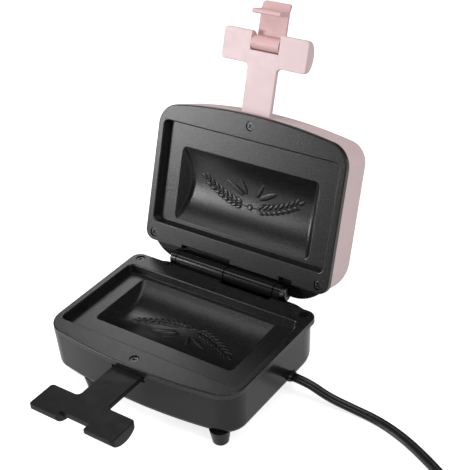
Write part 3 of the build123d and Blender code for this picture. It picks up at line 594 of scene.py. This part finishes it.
# %% Sprig layout
BOW_RISE = 5.5
BOW_CURVE = 0.0085
GRAIN_LEAN = 0.5
GRAIN_OFFSET = 2.3
GRAIN_LENGTH, GRAIN_WIDTH = 6.2, 2.9
TIP_X, TIP_LENGTH, TIP_WIDTH = 38.5, 6.6, 3.0
STEM_LENGTH, STEM_WIDTH = 4.2, 0.9
BEAD_LENGTH, BEAD_WIDTH = 5.0, 4.6
LEAVES = [
    [13.0, TROUGH_MIDDLE - 5.2, -0.45, 17.0, 4.6],
    [6.5, TROUGH_MIDDLE - 7.4, -1.05, 12.0, 3.8],
]
GRAIN_RUN = np.linspace(9.0, 35.0, 8)
STEM_RUN = np.linspace(1.0, 35.0, 12)


def bow(x):
    """Flat y of the ear's stem: a rise above the trough's middle, less a curve times x squared."""
    return TROUGH_MIDDLE + BOW_RISE - BOW_CURVE * x**2


def bow_angle(x):
    """Direction of the ear's stem: the arctangent of the parabola's slope at x."""
    return np.arctan(-2 * BOW_CURVE * x)


def row(x, offset, lean, length, width):
    """Layout rows at several x along the stem, set off from it and leaning out from it."""
    x = np.asarray(x, float)
    same = np.zeros_like(x)
    return np.stack([x, bow(x) + offset, bow_angle(x) + lean, same + length, same + width], axis=1)


def sprig():
    """Layout of the whole sprig: the right ear, its mirror image and the bead between them."""
    ear = np.vstack([
        row(GRAIN_RUN, GRAIN_OFFSET, GRAIN_LEAN, GRAIN_LENGTH, GRAIN_WIDTH),
        row(GRAIN_RUN, -GRAIN_OFFSET, -GRAIN_LEAN, GRAIN_LENGTH, GRAIN_WIDTH),
        row([TIP_X], 0.0, 0.0, TIP_LENGTH, TIP_WIDTH),
        row(STEM_RUN, 0.0, 0.0, STEM_LENGTH, STEM_WIDTH),
        LEAVES,
    ])
    other = ear * [-1, 1, -1, 1, 1]
    other[:, 2] += math.pi
    bead = row([0.0], 0.0, 0.0, BEAD_LENGTH, BEAD_WIDTH)
    return np.vstack([ear, other, bead])


layout = sprig()
print("the sprig has", len(layout), "almonds")

# %% [markdown]
# The same sprig goes into both wells. `lid_place` mirrors it in height, which would turn its faces
# inside out, so for the lid it is mirrored left to right first. Both halves of the sprig are alike,
# so it looks the same.

# %% Both reliefs


def relief(name, place, turn):
    """All almonds of the sprig as one mesh on one plate."""
    flat = almonds(layout)
    if turn:
        flat = flat * [-1, 1, 1]
    count, rows, columns = flat.shape[:3]
    index = np.arange(count * rows * columns).reshape(count, rows, columns)
    corners = (index[:, :-1, :-1], index[:, 1:, :-1], index[:, 1:, 1:], index[:, :-1, 1:])
    quads = np.stack(corners, axis=-1).reshape(-1, 4)
    return smooth_piece(name, place(flat), quads.tolist())


lower_relief = relief("lower_well_pattern", base_place, False)
upper_relief = relief("upper_well_pattern", lid_place, True)
for piece, body in ((lower_relief, "base"), (upper_relief, "lid")):
    wear(piece, coating)
    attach(piece, body)
print("pattern pieces:", len(lower_relief.data.polygons), "faces each")

# %% [markdown]
# ## Floor and background
#
# A wide pale floor catches the contact shadow. Black glossy plastic shows what surrounds it more
# than its own colour, so the floor and the world have one brightness for the camera, another in
# reflections, and a third for the light that falls on the part. The Light Path node tells these
# rays apart. A bright world alone would look right behind the part, but it would make the black
# plastic grey.

# %% Floor and background
FLOOR_REACH = 6.0
FLOOR_LEVELS = (("Is Glossy Ray", 0.25), ("Is Transmission Ray", 0.5), ("Is Camera Ray", 0.75))
WORLD_LEVELS = (("Is Glossy Ray", 0.03), ("Is Camera Ray", 1.0))
WORLD_LIGHT = 0.31
floor_mesh = bpy.data.meshes.new("floor")
floor_signs = ((-1, -1), (1, -1), (1, 1), (-1, 1))
floor_corners = [(x * FLOOR_REACH, y * FLOOR_REACH, 0) for x, y in floor_signs]
floor_mesh.from_pydata(floor_corners, [], [(0, 1, 2, 3)])
floor = bpy.data.objects.new("floor", floor_mesh)
bpy.context.scene.collection.objects.link(floor)


def by_ray(tree, other, levels):
    """A value that is `other`, but takes its own level for each kind of ray that `levels` names."""
    rays = tree.nodes.new("ShaderNodeLightPath")
    value = other
    for ray, level in levels:
        choice = tree.nodes.new("ShaderNodeMix")
        choice.data_type = "FLOAT"
        choice.inputs["B"].default_value = level
        tree.links.new(rays.outputs[ray], choice.inputs["Factor"])
        if isinstance(value, float):
            choice.inputs["A"].default_value = value
        else:
            tree.links.new(value, choice.inputs["A"])
        value = choice.outputs["Result"]
    return value


paper, paper_tree, paper_surface = shader("floor_paper", (0.82, 0.82, 0.82), 0.9)
glow = by_ray(paper_tree, 0.0, FLOOR_LEVELS)
paper_surface.inputs["Emission Color"].default_value = (1, 1, 1, 1)
paper_tree.links.new(glow, paper_surface.inputs["Emission Strength"])
floor_mesh.materials.append(paper)

world = bpy.data.worlds.new("studio")
bpy.context.scene.world = world
world.use_nodes = True
world_tree = world.node_tree
background = world_tree.nodes["Background"]
background.inputs["Color"].default_value = (1, 1, 1, 1)
surround = by_ray(world_tree, WORLD_LIGHT, WORLD_LEVELS)
world_tree.links.new(surround, background.inputs["Strength"])
print("floor and world are ready")

# %% [markdown]
# ## Lamps
#
# Five soft lamps stand round the part. The top lamp lights everything evenly. The back lamp gives
# the lower plate its sheen. The narrow front left lamp is mirrored in the lid's plate and makes its
# face brighter towards one corner. The upper left lamp draws the highlights along the hinge barrels
# and troughs. The right lamp lifts the side walls. A picture of a studio could light the part too,
# but lamps can be moved one at a time.

# %% Lamps


def softbox(name, place, target, size, power):
    """Rectangular area lamp that faces a target, places and sizes in metres, power in watts."""
    lamp = bpy.data.lights.new(name, "AREA")
    lamp.shape = "RECTANGLE"
    lamp.size, lamp.size_y = size
    lamp.energy = power
    holder = bpy.data.objects.new(name, lamp)
    holder.location = place
    facing = Vector(target) - Vector(place)
    holder.rotation_euler = facing.to_track_quat("-Z", "Y").to_euler()
    bpy.context.scene.collection.objects.link(holder)


softbox("top_lamp", (0.1, -0.1, 1.2), (0.0, 0.0, 0.05), (0.9, 0.6), 3.9)
softbox("back_lamp", (-0.75, 0.75, 0.75), (0.0, 0.0, 0.08), (0.25, 0.4), 1.2)
softbox("front_left_lamp", (-0.8, -0.84, 0.38), (0.0, 0.0, 0.12), (0.24, 0.45), 7.0)
softbox("upper_left_lamp", (-0.6, -0.24, 1.0), (0.0, 0.0, 0.06), (0.3, 0.3), 1.0)
softbox("right_lamp", (0.9, -0.2, 0.8), (0.0, 0.0, 0.08), (0.6, 0.8), 3.6)
bpy.context.scene.view_settings.view_transform = "Standard"
print("studio is lit")
